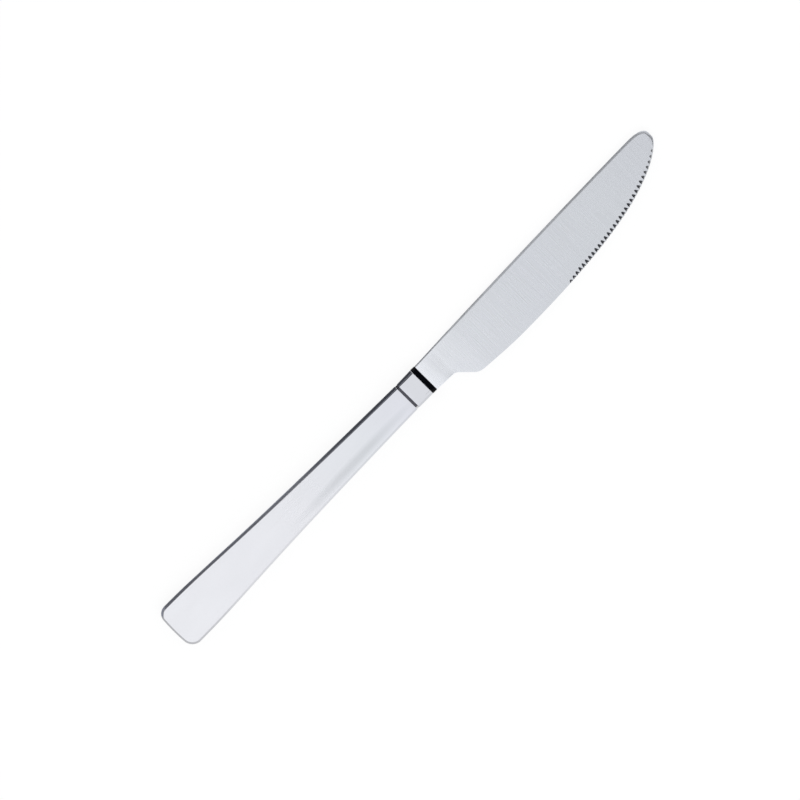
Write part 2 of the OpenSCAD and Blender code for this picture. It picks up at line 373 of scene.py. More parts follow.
# %% Make the front and back shells
def make_shell(name, face_sign):
    outside = [outer_ring(level, face_sign) for level in reversed(range(section_count))]
    inside = [inner_ring(b, i, face_sign * z) for b, i, z in reversed(inner_levels())]
    return make_piece(skin(outside + inside, hollow=True), name)


front_shell = make_shell("front_shell_pressing", 1)
back_shell = make_shell("back_shell_pressing", -1)
let_flat_faces_lead(front_shell)
let_flat_faces_lead(back_shell)

# %% [markdown]
# The collar and the black ring are short bars with bevelled sides, bored through for the tang. Each
# is a loft along the knife: rings of one section, from the slot's end out over the skin and back to
# the slot. A cube with bevels would be quicker, but it couldn't follow the ring's slope or keep
# the collar's bevel in line with the handle's.

# %% The section of a bar
def bar_section(x, half_w, half_t, bevel_w, bevel_t, softness=1):
    """One ring of the bar, with the corners of the shells, and softness to draw them in."""
    quarter = [Vector((half_w, half_t - bevel_t)), Vector((half_w - bevel_w, half_t))]
    front = quarter + [Vector((-p.x, p.y)) for p in reversed(quarter)]
    corners = front + [Vector((p.x, -p.y)) for p in reversed(front)]
    radii = [WALL_CORNER_R, FACE_CORNER_R, FACE_CORNER_R, WALL_CORNER_R] * 2
    ring = []
    for i, corner in enumerate(corners):
        after = corners[(i + 1) % len(corners)]
        arc = corner_arc(corners[i - 1], corner, after, radii[i] * softness, ARC_STEPS)
        ring += [Vector((x, p.x, p.y)) for p in arc]
    return ring


test_ring = bar_section(0, neck_w / 2, handle_t / 2, NECK_BEVEL_W, BEVEL_DEPTH)
print("points round a bar:", len(test_ring))

# %% Loft a bored bar along the knife
TANG_W = 6
TANG_T = 2.4
FIT_CLEAR = 0.05
END_ROUND = 0.18
SAME_PLACE = 1e-5


def slot_ring(ring, x):
    """The same ring, drawn in to the slot's four corners."""
    half_w = TANG_W / 2 + FIT_CLEAR
    half_t = TANG_T / 2 + FIT_CLEAR
    return [Vector((x, math.copysign(half_w, p.y), math.copysign(half_t, p.z))) for p in ring]


def loft_bored_bar(sections, name):
    """sections run from one end to the other, and the slot closes the loft on itself."""
    first = slot_ring(sections[0], sections[0][0].x)
    last = slot_ring(sections[-1], sections[-1][0].x)
    mesh = bmesh.new()
    verts = [[mesh.verts.new(point) for point in ring] for ring in [first] + sections + [last]]
    count = len(first)
    for lower, upper in zip(verts, verts[1:] + verts[:1]):
        for i in range(count):
            nearby = (i + 1) % count
            mesh.faces.new((lower[i], lower[nearby], upper[nearby], upper[i]))
    bmesh.ops.remove_doubles(mesh, verts=mesh.verts, dist=SAME_PLACE)
    bmesh.ops.recalc_face_normals(mesh, faces=mesh.faces)
    return make_piece(mesh, name)


def rounded_ends(low_x, high_x, section_at):
    """Sections from low_x to high_x, with both end edges rounded over."""
    turns = [math.radians(90) * i / ARC_STEPS for i in range(ARC_STEPS + 1)]
    start = [(low_x + END_ROUND * (1 - math.cos(a)), END_ROUND * (1 - math.sin(a))) for a in turns]
    end = [(low_x + high_x - x, inset) for x, inset in reversed(start)]
    return [section_at(x, inset) for x, inset in start + end]


print("slot for the tang:", TANG_W + 2 * FIT_CLEAR, "by", TANG_T + 2 * FIT_CLEAR, "mm")

# %% [markdown]
# The collar is the short steel block between the handle and the black ring. Behind it the shells'
# ends butt on a lower step, and as the step is longer than they need, an open groove shows there.
# The groove is therefore real depth, and not a painted line. A spigot behind the step plugs into
# the shells. Towards the ring the block stands out a little on the spine's side, and its bevel
# widens. All of this is one loft whose section changes from ring to ring.

# %% Make the collar with its spigot
GROOVE_W = 0.9
GROOVE_DEPTH = 0.2
COLLAR_RING_BEVEL_W = 1.45
COLLAR_FLARE = 0.2
SPIGOT_SOFTNESS = 0.4
collar_x = shell_len + GROOVE_W
step_x = shell_len + FIT_CLEAR
spigot_inset = WALL_T + FIT_CLEAR


def flare_out(ring, share):
    """Moves the spine's side of a ring out, by a share of the collar's flare."""
    return [Vector((p.x, p.y + COLLAR_FLARE * share * (p.y > 0), p.z)) for p in ring]


def collar_section(x, inset):
    share = (x - collar_x) / (ring_x - collar_x)
    bevel_w = mix(NECK_BEVEL_W, COLLAR_RING_BEVEL_W, share)
    ring = bar_section(x, neck_w / 2 - inset, handle_t / 2 - inset, bevel_w, BEVEL_DEPTH)
    return flare_out(ring, share * share)


def inner_section(x, inset):
    """The section of the handle's neck, drawn in all round by an inset."""
    half_t = handle_t / 2 - inset
    bevel_w = NECK_BEVEL_W + face_mitre(inset) - inset
    bevel_t = half_t - side_top(inset)
    return bar_section(x, neck_w / 2 - inset, half_t, bevel_w, bevel_t, SPIGOT_SOFTNESS)


spigot = [inner_section(x, spigot_inset) for x in (spigot_x, step_x)]
groove_floor = [inner_section(x, GROOVE_DEPTH) for x in (step_x, collar_x)]
block = rounded_ends(collar_x, ring_x, collar_section)
collar = loft_bored_bar(spigot + groove_floor + block, "collar_block")
let_flat_faces_lead(collar)

# %% [markdown]
# The black ring fills the step from the thick collar down to the thin shoulder of the blade, so its
# faces slope towards the blade. We give it the collar's own section at one end and scale the
# thickness down along it, which keeps its outline in line with the collar's when seen from above.

# %% Make the black neck ring
RING_END_T = 3.4


def ring_section(x, inset):
    share = (x - ring_x) / (shoulder_x - ring_x)
    thin = mix(1, RING_END_T / handle_t, share)
    ring = bar_section(x, neck_w / 2 - inset, handle_t / 2 * thin - inset, COLLAR_RING_BEVEL_W * thin,
                       BEVEL_DEPTH * thin, thin)
    return flare_out(ring, 1 - share / 2)


neck_ring = loft_bored_bar(rounded_ends(ring_x, shoulder_x, ring_section), "neck_ring_moulding")
let_flat_faces_lead(neck_ring)

# %% [markdown]
# The blade's lower side has a short neck, a sloping heel with a soft fillet above and a rounder
# corner below, then the edge, which sinks to its lowest point and sweeps up to the nose. We chain
# arcs and two Bezier curves in the order that a grinder would follow, with extra points where the
# blade changes thickness, so that those changes look smooth.

# %% The heel of the blade
HEEL_START = 8
NECK_DROP = 0.35
HEEL_RUN = 5.45
HEEL_DEPTH = 10.95
HEEL_FILLET_R = 2.6
HEEL_CORNER_R = 5
FILLET_STEPS = 12
HEEL_CORNER_STEPS = 14
BELLY_START = 32
UNDERSIDE_PULL = 0.7
UNDERSIDE_STEPS = 24
neck_start = Vector((0, -neck_w / 2))
heel_top = Vector((HEEL_START, -neck_w / 2 - NECK_DROP))
heel_low = Vector((HEEL_START + HEEL_RUN, -HEEL_DEPTH))
belly_low = Vector((BELLY_START, -belly_depth))
underside_pull = Vector((mix(heel_low.x, BELLY_START, UNDERSIDE_PULL), -belly_depth))
heel_fillet = corner_arc(neck_start, heel_top, heel_low, HEEL_FILLET_R, FILLET_STEPS)
heel_corner = corner_arc(heel_top, heel_low, underside_pull, HEEL_CORNER_R, HEEL_CORNER_STEPS)
underside_points = [heel_corner[-1], underside_pull, belly_low]
underside = [bezier(underside_points, i / UNDERSIDE_STEPS) for i in range(1, UNDERSIDE_STEPS)]
print("the heel's corner ends", round(heel_corner[-1].x, 2), "mm from the shoulder")

# %% The lower side of the blade's outline
NOSE_HEIGHT = 3.75
NOSE_FLAT = 1.3
NECK_STEPS = 12
HEEL_STEPS = 3
BELLY_STEPS = 170
belly_points = [
    belly_low,
    (mix(BELLY_START, blade_len, 0.655), -belly_depth),
    (mix(BELLY_START, blade_len, 0.85), mix(NOSE_HEIGHT, -belly_depth, 0.7)),
    (blade_len, mix(NOSE_HEIGHT, -belly_depth, 0.23)),
    (blade_len, NOSE_HEIGHT - NOSE_FLAT / 2),
]


def points_between(a, b, count):
    return [a.lerp(b, i / (count + 1)) for i in range(1, count + 1)]


edge_line = (
    [neck_start] + points_between(neck_start, heel_fillet[0], NECK_STEPS)
    + heel_fillet + points_between(heel_fillet[-1], heel_corner[0], HEEL_STEPS)
    + heel_corner + underside
    + [bezier(belly_points, i / BELLY_STEPS) for i in range(BELLY_STEPS + 1)]
)
belly_first = len(edge_line) - BELLY_STEPS - 1
print("points along the lower side:", len(edge_line))

# %% [markdown]
# The spine rises gently from the neck and rounds down into the nose. Every point of the lower side
# gets a partner on the spine, straight above it at first and then fanned round the nose. Partners
# keep the strips across the blade tidy, where two curves sampled on their own would shear them.

# %% The spine, point for point with the lower side
SPINE_BOW = 1.6
NOSE_START = 0.66
spine_rise = (blade_high.y - axis_y) / MM - neck_w / 2
nose_x = bezier(belly_points, NOSE_START).x


def spine_y(x):
    along = x / nose_x
    return neck_w / 2 + spine_rise * (SPINE_BOW * along - (SPINE_BOW - 1) * along * along)


nose_points = [
    (nose_x, spine_y(nose_x)),
    (mix(nose_x, blade_len, 0.6), spine_y(nose_x)),
    (blade_len, mix(spine_y(nose_x), NOSE_HEIGHT, 0.18)),
    (blade_len, NOSE_HEIGHT + NOSE_FLAT / 2),
]


def spine_partner(i):
    belly_share = (i - belly_first) / BELLY_STEPS
    if belly_share <= NOSE_START:
        return Vector((edge_line[i].x, spine_y(edge_line[i].x)))
    return bezier(nose_points, (belly_share - NOSE_START) / (1 - NOSE_START))


spine_line = [spine_partner(i) for i in range(len(edge_line))]
nose_middle = Vector((blade_len, NOSE_HEIGHT))
print("the nose starts to round at", round(nose_x, 1), "mm from the shoulder")

# %% [markdown]
# A ground blade is thick along the spine and thin at the edge, and both taper: from 3 mm at the
# shoulder to 2.2 mm past the heel and 0.7 mm at the nose, and to 0.4 mm along the edge. The wheel's
# rounding of the outer corners changes too: on the spine it broadens away from the shoulder, it
# stays broad round the nose and is narrow along the edge. These are short functions of place, so
# the skin can ask for them anywhere.

# %% Thickness and rounding of the blade
SHOULDER_T = 3
SPINE_T = 2.2
NOSE_T = 0.7
EDGE_T = 0.4
SPINE_EASE = (0.85, 0.28)
SHOULDER_EASE = (0.5, 0.25)
SPINE_EASE_GROWTH = 35
NECK_EASE = (0.35, 0.2)
EDGE_EASE = (0.1, 0.08)
NOSE_EASE = (0.85, 0.2)
NOSE_EASE_REACH = 5.6
EASE_MOST = 0.75


def spine_half_t(x):
    taper = mix(SPINE_T, NOSE_T, x / blade_len)
    return mix(SHOULDER_T, taper, ease(x / HEEL_START)) / 2


def edge_half_t(x):
    ground = ease((x - HEEL_START / 2) / (HEEL_START / 2 + HEEL_RUN))
    return mix(spine_half_t(x), EDGE_T / 2, ground)


def edge_ease(point):
    """Width and depth of the lower side's rounding, fuller at the thick neck and at the nose."""
    thick = (edge_half_t(point.x) - EDGE_T / 2) / (SHOULDER_T / 2 - EDGE_T / 2)
    near_nose = 1 - ease((point - nose_middle).length / NOSE_EASE_REACH)
    sizes = zip(EDGE_EASE, NECK_EASE, NOSE_EASE)
    return [mix(mix(edge, neck, thick), nose, near_nose) for edge, neck, nose in sizes]


def spine_ease(point):
    """Width and depth of the spine's rounding, which broadens away from the shoulder."""
    grown = ease(point.x / SPINE_EASE_GROWTH)
    width, depth = (mix(a, b, grown) for a, b in zip(SHOULDER_EASE, SPINE_EASE))
    return width, min(depth, spine_half_t(point.x) * EASE_MOST)


for x in (0, HEEL_START, BELLY_START, blade_len):
    print(f"{x:6.1f} mm: spine {2 * spine_half_t(x):.2f}, edge {2 * edge_half_t(x):.2f} mm thick")

# %% [markdown]
# Now the blade's skin. Each ring lies a set distance inside the outline, at the height of the ground
# face there or on the corner that the wheel has eased, a small chamfer with soft ends, and runs from
# the shoulder along the spine, round the nose and back along the edge. The first ring lies well
# inside, past the flutes to come, so the cuts stay in a narrow border and leave the face clean.

# %% Points round the blade
def inward(line, i, turn):
    """The unit vector square to a line at point i, turned to the inside of the blade."""
    ahead = line[min(i + 1, len(line) - 1)] - line[max(i - 1, 0)]
    return (Vector((-ahead.y, ahead.x)) * turn).normalized()


def blade_stations():
    """Points round the blade, each with all that its rings need.

    These are its place, the way in, its own and its partner's half thickness, the breadth of the
    blade there, and the width and depth of the rounding.
    """
    made = []
    for line, partners, turn, own_t, other_t, own_ease in (
        (spine_line, edge_line, -1, spine_half_t, edge_half_t, spine_ease),
        (edge_line, spine_line, 1, edge_half_t, spine_half_t, edge_ease),
    ):
        made.append([
            (p, inward(line, i, turn), own_t(p.x), other_t(partners[i].x), (partners[i] - p).length,
             own_ease(p))
            for i, p in enumerate(line)])
    front_t = (spine_half_t(blade_len), edge_half_t(blade_len))
    middle_t = sum(front_t) / 2
    middle = (nose_middle, Vector((-1, 0)), middle_t, middle_t, NOSE_FLAT, edge_ease(nose_middle))
    return made[0] + [middle] + made[1][::-1]


stations = blade_stations()
print("points round the blade:", len(stations))

# %% Rings of the blade
FIELD_INSET = 1.9
EASE_STEPS = 3
EASE_SOFT_TOP = 0.8
EASE_SOFT_SIDE = 0.5


def face_height(station, inset):
    _, _, own_t, other_t, breadth, _ = station
    return mix(own_t, other_t, min(0.5, inset / breadth))


def blade_point(station, inset, height):
    spot = station[0] + station[1] * inset
    return Vector((shoulder_x + max(0, spot.x) * (station[0].x > 0), spot.y, height))


def blade_ring(inset, sign):
    return [blade_point(s, inset, sign * face_height(s, inset)) for s in stations]


def ease_section(width, depth):
    """Points (way in, height) of the chamfer and its two soft ends, from the face down to the side."""
    top, side = Vector((width, 0)), Vector((0, -depth))
    upper = corner_arc(top * 2, top, side, width * EASE_SOFT_TOP, EASE_STEPS)
    lower = corner_arc(top, side, side * 2, depth * EASE_SOFT_SIDE, EASE_STEPS)
    return upper + lower


def ease_ring(step, sign):
    ring = []
    for s in stations:
        inset, height = ease_section(*s[5])[step]
        ring.append(blade_point(s, inset, sign * (face_height(s, max(inset, s[5][0])) + height)))
    return ring


def blade_side(sign):
    return [blade_ring(FIELD_INSET, sign)] + [ease_ring(i, sign) for i in range(2 * EASE_STEPS + 2)]


blade_rings = blade_side(1) + blade_side(-1)[::-1]
print("rings round the blade:", len(blade_rings), "of", len(blade_rings[0]), "points")

# %% [markdown]
# Behind the shoulder the blade runs on as the tang, a flat bar with a rounded end and two holes that
# key it into the cement. It is hidden in the handle, but it is what holds the knife together, so it
# is made in full. Its rings are the blade's kind: an outline at one height and again at the other.

# %% Make the bodies of the blade and the tang
TANG_OVERLAP = 0.5
TANG_END_STEPS = 10


def tang_ring(height):
    turns = [math.radians(90) * i / TANG_END_STEPS for i in range(TANG_END_STEPS + 1)]
    end = [(tang_x + TANG_W / 2 * (1 - math.sin(a)), TANG_W / 2 * math.cos(a)) for a in turns]
    side = [(shoulder_x + TANG_OVERLAP, TANG_W / 2)] + end
    return whole_ring(lambda sign: [Vector((x, sign * y, height)) for x, y in side])


blade = make_object(skin(blade_rings), "serrated_blade")
tang = make_object(skin([tang_ring(TANG_T / 2), tang_ring(-TANG_T / 2)]), "tang_bar")
print("blade faces:", len(blade.data.polygons), "tang faces:", len(tang.data.polygons))

# %% [markdown]
# The serration is cut as in the workshop: the edge of a round wheel is laid on the front face, tilted
# so that it bites through the edge and runs out higher up, and moved along the knife by one pitch
# each time. A height map could fake this, but a cut gives a true crease and a scalloped edge. Each
# cutter is a cylinder, and at both ends of the run it is rounder and bites less deep. One Boolean
# modifier takes them all.

# %% Where the wheel cuts each flute
SERRATION_START = 54.75
SERRATION_STOP = 2.6
FLUTE_PITCH = 1.6
FLUTE_R = 0.6
FLUTE_RUN = 1.35
GULLET_DEPTH = 0.1
FADE_IN = 3
FADE_OUT = 6
FAINT = 0.55
flute_tilt = math.atan2(EDGE_T, FLUTE_RUN - GULLET_DEPTH)
flute_depth = EDGE_T + GULLET_DEPTH * math.tan(flute_tilt)
belly = edge_line[belly_first:]
flute_count = int((blade_len - SERRATION_START - SERRATION_STOP) / FLUTE_PITCH) + 1


def flute_strength(i):
    return mix(FAINT, 1, min(1, i / FADE_IN, (flute_count - 1 - i) / FADE_OUT))


def flute_radius(i):
    """The wheel was dressed rounder for the faint flutes, so that they are as broad as the others."""
    return FLUTE_R / flute_strength(i)


def flute_matrix(i):
    """Carries a cylinder along z, from its own middle, to the place of flute i."""
    x = SERRATION_START + i * FLUTE_PITCH
    rise = height_at(belly, x + FLUTE_PITCH / 2) - height_at(belly, x - FLUTE_PITCH / 2)
    lift = EDGE_T / 2 - flute_strength(i) * flute_depth
    at_edge = Matrix.Translation((shoulder_x + x, height_at(belly, x), lift))
    heading = Matrix.Rotation(math.atan2(rise, FLUTE_PITCH), 4, "Z")
    tilt = Matrix.Rotation(flute_tilt, 4, "X")
    laid = Matrix.Rotation(-math.pi / 2, 4, "X")
    half_run = FLUTE_RUN / math.cos(flute_tilt) / 2
    return at_edge @ heading @ tilt @ Matrix.Translation((0, half_run, flute_radius(i))) @ laid


print("flutes:", flute_count, "tilt:", round(math.degrees(flute_tilt), 1), "degrees")

# %% Cutters for the flutes and the tang's holes
OVERRUN = 0.5
FLUTE_FACES = 48
KEY_HOLE_R = 1.4
KEY_HOLE_SHARES = (0.28, 0.6)
KEY_HOLE_FACES = 32


def add_cutter(mesh, radius, length, matrix, faces):
    bmesh.ops.create_cone(mesh, cap_ends=True, segments=faces, radius1=radius, radius2=radius,
                          depth=length, matrix=matrix)


cutter_mesh = bmesh.new()
flute_len = FLUTE_RUN / math.cos(flute_tilt) + 2 * OVERRUN
for i in range(flute_count):
    add_cutter(cutter_mesh, flute_radius(i), flute_len, flute_matrix(i), FLUTE_FACES)
for share in KEY_HOLE_SHARES:
    hole = Matrix.Translation((mix(tang_x, spigot_x, share), 0, 0))
    add_cutter(cutter_mesh, KEY_HOLE_R, TANG_T + 2 * OVERRUN, hole, KEY_HOLE_FACES)
cutters = make_object(cutter_mesh, "cutters")
print("faces of all the cutters:", len(cutters.data.polygons))

# %% [markdown]
# Two Boolean modifiers join the tang and take the cutters away. We do this while the blade is still
# in millimetres, because in metres the flutes are so small that some get lost. The cutters wear the
# flutes' material, which carries painted shade, because a Boolean can pass a cutter's material to
# the faces that it leaves, so the painted shade needs no mask of its own. Last, the cut blade is
# carried to its place.

# %% Join the tang and cut the flutes
blade_steel = bpy.data.materials.new("blade_steel_satin")
# The flutes' material carries painted shade, dark for the shade in the hollow flutes.
flute_shade_steel = bpy.data.materials.new("flute_steel_painted_shade")
blade.data.materials.append(blade_steel)
blade.data.materials.append(flute_shade_steel)
tang.data.materials.append(blade_steel)
cutters.data.materials.append(flute_shade_steel)
for tool, work in ((tang, "UNION"), (cutters, "DIFFERENCE")):
    step = blade.modifiers.new(work.lower(), "BOOLEAN")
    step.operation = work
    step.solver = "EXACT"
    step.material_mode = "TRANSFER"
    step.object = tool
cut = blade.evaluated_get(bpy.context.evaluated_depsgraph_get())
cut_data = bpy.data.meshes.new_from_object(cut)
blade.modifiers.clear()
cut_data.transform(knife_to_frame)
blade.data = cut_data
for tool in (tang, cutters):
    bpy.data.objects.remove(tool)
fluted = [p for p in cut_data.polygons if p.material_index == 1]
print("materials:", [m.name for m in cut_data.materials], "fluted faces:", len(fluted))

# %% [markdown]
# The border of every flute is a crisp crease left by the wheel, even where it turns by only a few
# degrees at the top of the flute. So edges between the two finishes are marked sharp, besides those
# that turn by more than the set angle. Each point also learns how far it lies from the edge line,
# since the flutes' painted shade is lifted to lighter steel only where they run out there.

# %% Keep the creases of the flutes crisp
crease_mesh = bmesh.new()
crease_mesh.from_mesh(blade.data)
for edge in crease_mesh.edges:
    finishes = {face.material_index for face in edge.link_faces}
    turns = edge.calc_face_angle(math.pi) > math.radians(SHARP_ANGLE)
    edge.smooth = not turns and len(finishes) == 1
crisp = sum(not edge.smooth for edge in crease_mesh.edges)
edge_points = KDTree(len(belly))
for i, point in enumerate(belly):
    edge_points.insert(knife_to_frame @ Vector((shoulder_x + point.x, point.y, 0)), i)
edge_points.balance()
from_edge = crease_mesh.verts.layers.float.new("from_edge")
for vert in crease_mesh.verts:
    vert[from_edge] = edge_points.find((vert.co.x, vert.co.y, knife_origin.z))[2] / MM
crease_mesh.to_mesh(blade.data)
crease_mesh.free()
let_flat_faces_lead(blade)
print("crisp edges:", crisp)

# %% [markdown]
# Every finish here is made of nodes, so it holds at any distance and needs no pictures. Steel is
# mostly what it mirrors: a metallic shader with the right brightness does the work, and noise that is
# stretched one way becomes the fine lines that a polishing belt leaves. Node after node would bury
# the idea of a finish, so a small class adds the usual ones and links them.

# %% A class that wires up nodes
class Wiring:
    """Adds linked nodes to a node tree."""

    def __init__(self, tree):
        self.nodes = tree.nodes
        self.link = tree.links.new

    def add(self, kind, **settings):
        node = self.nodes.new("ShaderNode" + kind)
        for name, value in settings.items():
            setattr(node, name, value)
        return node

    def place(self):
        """Where a point lies, in the frame's own metres."""
        return self.add("TexCoord").outputs["Object"]

    def noise(self, scale, detail=3):
        """Noise with so many features a metre along x, y and z."""
        stretch = self.add("Mapping")
        stretch.inputs["Scale"].default_value = scale
        grain = self.add("TexNoise")
        grain.inputs["Scale"].default_value = 1
        grain.inputs["Detail"].default_value = detail
        self.link(self.place(), stretch.inputs["Vector"])
        self.link(stretch.outputs["Vector"], grain.inputs["Vector"])
        return grain.outputs["Fac"]

    def spread(self, value, low, high, start=0.3, stop=0.7):
        """Maps a value from start to stop on to a range. A noise keeps mostly within 0.3 to 0.7."""
        ranged = self.add("MapRange")
        limits = {"From Min": start, "From Max": stop, "To Min": low, "To Max": high}
        for name, number in limits.items():
            ranged.inputs[name].default_value = number
        self.link(value, ranged.inputs["Value"])
        return ranged.outputs["Result"]

    def tint(self, value, stops):
        """A colour ramp from a list of (position, colour)."""
        ramp = self.add("ValToRGB")
        marks = ramp.color_ramp.elements
        while len(marks) < len(stops):
            marks.new(0.5)
        for mark, (position, colour) in zip(marks, stops):
            mark.position = position
            mark.color = (*colour, 1)
        self.link(value, ramp.inputs["Fac"])
        return ramp.outputs["Color"]


print("usual nodes:", [name for name in vars(Wiring) if not name.startswith("_")])

# %% Helpers that join two values or two colours
COLOUR_A, COLOUR_B, COLOUR_OUT = 6, 7, 2  # the colour sockets among all those of a Mix node


def combine(wiring, operation, a, b):
    """Two values, added or the larger of them."""
    both = wiring.add("Math", operation=operation)
    wiring.link(a, both.inputs[0])
    wiring.link(b, both.inputs[1])
    return both.outputs["Value"]


def blend(wiring, kind, a, b):
    """Two colours, multiplied, screened or the lighter of them."""
    both = wiring.add("Mix", data_type="RGBA", blend_type=kind)
    both.inputs["Factor"].default_value = 1
    wiring.link(a, both.inputs[COLOUR_A])
    wiring.link(b, both.inputs[COLOUR_B])
    return both.outputs[COLOUR_OUT]


print("a Mix node's colours go in at", (COLOUR_A, COLOUR_B), "and come out at", COLOUR_OUT)

# %% Helpers for finishes
def grey(tone):
    return (tone, tone, tone)


def start_finish(material):
    material.use_nodes = True
    wiring = Wiring(material.node_tree)
    return wiring, wiring.nodes["Principled BSDF"]


def along_axis(wiring, axis, start, stop):
    """0 at one place along an axis of the frame and 1 at another, both in metres."""
    split = wiring.add("SeparateXYZ")
    wiring.link(wiring.place(), split.inputs["Vector"])
    return wiring.spread(split.outputs[axis], 0, 1, start, stop)


def along_knife(wiring, start_x, stop_x):
    """The same along the knife, in millimetres from the butt."""
    start, stop = (knife_to_frame @ Vector((x, 0, 0)) for x in (start_x, stop_x))
    return along_axis(wiring, "X", start.x, stop.x)


def emboss(wiring, height, relief, shader):
    """Shades a height as a relief, so many metres deep, that the mesh itself doesn't have."""
    bump = wiring.add("Bump")
    bump.inputs["Distance"].default_value = relief
    wiring.link(height, bump.inputs["Height"])
    wiring.link(bump.outputs["Normal"], shader.inputs["Normal"])


print("helpers for finishes ready")

# %% [markdown]
# The handle and the collar are bright polished steel. Polishing leaves very fine lines along the
# knife and soft clouds where the buff pressed harder. A long, slightly darker streak low on the face
# near the neck is painted shade, standing in for the darker reflection of a face that is not quite
# flat. The colour is brightest at the butt and a little greyer at the neck, which is painted light
# and shade for how the light falls along the handle, and the buff has left its middle hazier than
# its ends. Two ramps along the knife give these slow changes. The streak is an ellipse in the
# knife's own frame.

# %% The bright steel of the handle and the collar
POLISH_LINES = (70, 5200, 5200)
POLISH_CLOUDS = (55, 160, 160)
POLISH_RELIEF = 0.0000006
LINE_HAZE = 0.03
# The streak is painted shade: an ellipse that darkens the colour low on the face near the neck.
STREAK_MIDDLE = knife_to_frame @ Vector((79, -2.85, 0))
STREAK_REACH = (0.03, 0.0021, 0.02)
STREAK_TURN = math.radians(1.2)
STREAK_CORE = 0.3
STREAK_SHADE_STOPS = [(0, grey(1)), (0.45, (0.93, 0.935, 0.935)), (1, (0.835, 0.84, 0.84))]
CLOUD_STOPS = [(0.3, grey(0.975)), (0.7, grey(1))]
# Steel colour with painted light and shade along the handle: lighter at the butt, greyer at the neck,
# darkest by the collar.
STEEL_AND_PAINTED_LIGHT_STOPS = [(0.1, (0.832, 0.84, 0.882)), (0.3, (0.822, 0.83, 0.873)), (0.5, (0.824, 0.832, 0.875)),
                (0.64, (0.784, 0.80, 0.845)), (0.76, (0.767, 0.79, 0.835)),
                (0.92, (0.745, 0.758, 0.821)), (0.96, (0.703, 0.717, 0.762))]
HAZE_STOPS = [(0, grey(0.18)), (0.35, grey(0.2)), (0.55, grey(0.3)), (0.72, grey(0.12)), (1, grey(0.1))]
handle_steel = bpy.data.materials.new("handle_steel_bright")
wiring, shader = start_finish(handle_steel)
shader.inputs["Metallic"].default_value = 1
lines = wiring.noise(POLISH_LINES)
clouds = wiring.noise(POLISH_CLOUDS, detail=2)
streak_frame = wiring.add("Mapping", vector_type="TEXTURE")
streak_frame.inputs["Location"].default_value = STREAK_MIDDLE
streak_frame.inputs["Rotation"].default_value = (0, 0, STREAK_TURN)
streak_frame.inputs["Scale"].default_value = STREAK_REACH
streak_distance = wiring.add("VectorMath", operation="LENGTH")
wiring.link(wiring.place(), streak_frame.inputs["Vector"])
wiring.link(streak_frame.outputs["Vector"], streak_distance.inputs[0])
streak = wiring.spread(streak_distance.outputs["Value"], 1, 0, STREAK_CORE, 1)
share = along_knife(wiring, 0, ring_x)
colour = blend(wiring, "MULTIPLY", wiring.tint(share, STEEL_AND_PAINTED_LIGHT_STOPS), wiring.tint(clouds, CLOUD_STOPS))
colour = blend(wiring, "MULTIPLY", colour, wiring.tint(streak, STREAK_SHADE_STOPS))
wiring.link(colour, shader.inputs["Base Color"])
line_haze = wiring.spread(lines, -LINE_HAZE, LINE_HAZE)
haze = combine(wiring, "ADD", wiring.tint(share, HAZE_STOPS), line_haze)
wiring.link(haze, shader.inputs["Roughness"])
emboss(wiring, lines, POLISH_RELIEF, shader)
print("bright steel:", len(wiring.nodes), "nodes")

# %% [markdown]
# The blade is the same steel with a satin finish, so it mirrors less sharply and looks a little
# greyer. Its colour is lighter by the shoulder and greyer towards the nose, which is painted light
# and shade for how the light falls along the blade. A ramp along the knife gives that slow change,
# and noise stretched across the blade gives the lines of the grinding belt, which runs from spine
# to edge.

# %% The satin steel of the blade
BELT_LINES = (4200, 90, 90)
BELT_CLOUDS = (60, 110, 110)
GRAIN_STOPS = [(0.3, grey(0.993)), (0.7, grey(1))]
MOTTLE_STOPS = [(0.35, (0.985, 0.985, 0.98)), (0.65, grey(1))]
# Steel colour with painted light and shade along the blade: lighter by the shoulder, greyer towards the
# nose.
SATIN_AND_PAINTED_LIGHT_STOPS = [(0, (0.855, 0.878, 0.93)), (0.18, (0.702, 0.723, 0.768)), (0.45, (0.666, 0.688, 0.735)),
               (0.75, (0.662, 0.686, 0.73)), (1, (0.648, 0.668, 0.719))]


def satin(material, stops, roughness, relief):
    wiring, shader = start_finish(material)
    shader.inputs["Metallic"].default_value = 1
    share = along_knife(wiring, shoulder_x, shoulder_x + blade_len)
    lines = wiring.noise(BELT_LINES)
    clouds = wiring.noise(BELT_CLOUDS, detail=2)
    grain = blend(wiring, "MULTIPLY", wiring.tint(lines, GRAIN_STOPS), wiring.tint(clouds, MOTTLE_STOPS))
    colour = blend(wiring, "MULTIPLY", wiring.tint(share, stops), grain)
    wiring.link(colour, shader.inputs["Base Color"])
    wiring.link(wiring.spread(lines, *roughness), shader.inputs["Roughness"])
    emboss(wiring, lines, relief, shader)
    print(material.name, "has", len(wiring.nodes), "nodes")
    return wiring, shader


satin(blade_steel, SATIN_AND_PAINTED_LIGHT_STOPS, roughness=(0.24, 0.33), relief=0.0000004)

# %% [markdown]
# The flutes are left as the wheel cut them, coarse and unpolished, so their steel is rougher. Their
# colour is painted shade: dark, for the shade and dark reflections in the hollow flutes. The painted
# shade lifts to lighter steel at the edge line, and where the last flutes before the nose become
# shallow. Both come from ramps, the first over each point's distance from the edge, and the lighter
# one wins.

# %% The flutes' steel, with painted shade
# Painted shade of the flutes: dark along the knife, lighter at the shallow flutes by the nose.
FLUTE_SHADE_STOPS = [(0, (0.06, 0.062, 0.072)), (0.87, (0.06, 0.062, 0.072)), (0.91, (0.13, 0.133, 0.145)),
               (0.94, (0.2, 0.205, 0.22)), (0.97, (0.27, 0.275, 0.29))]
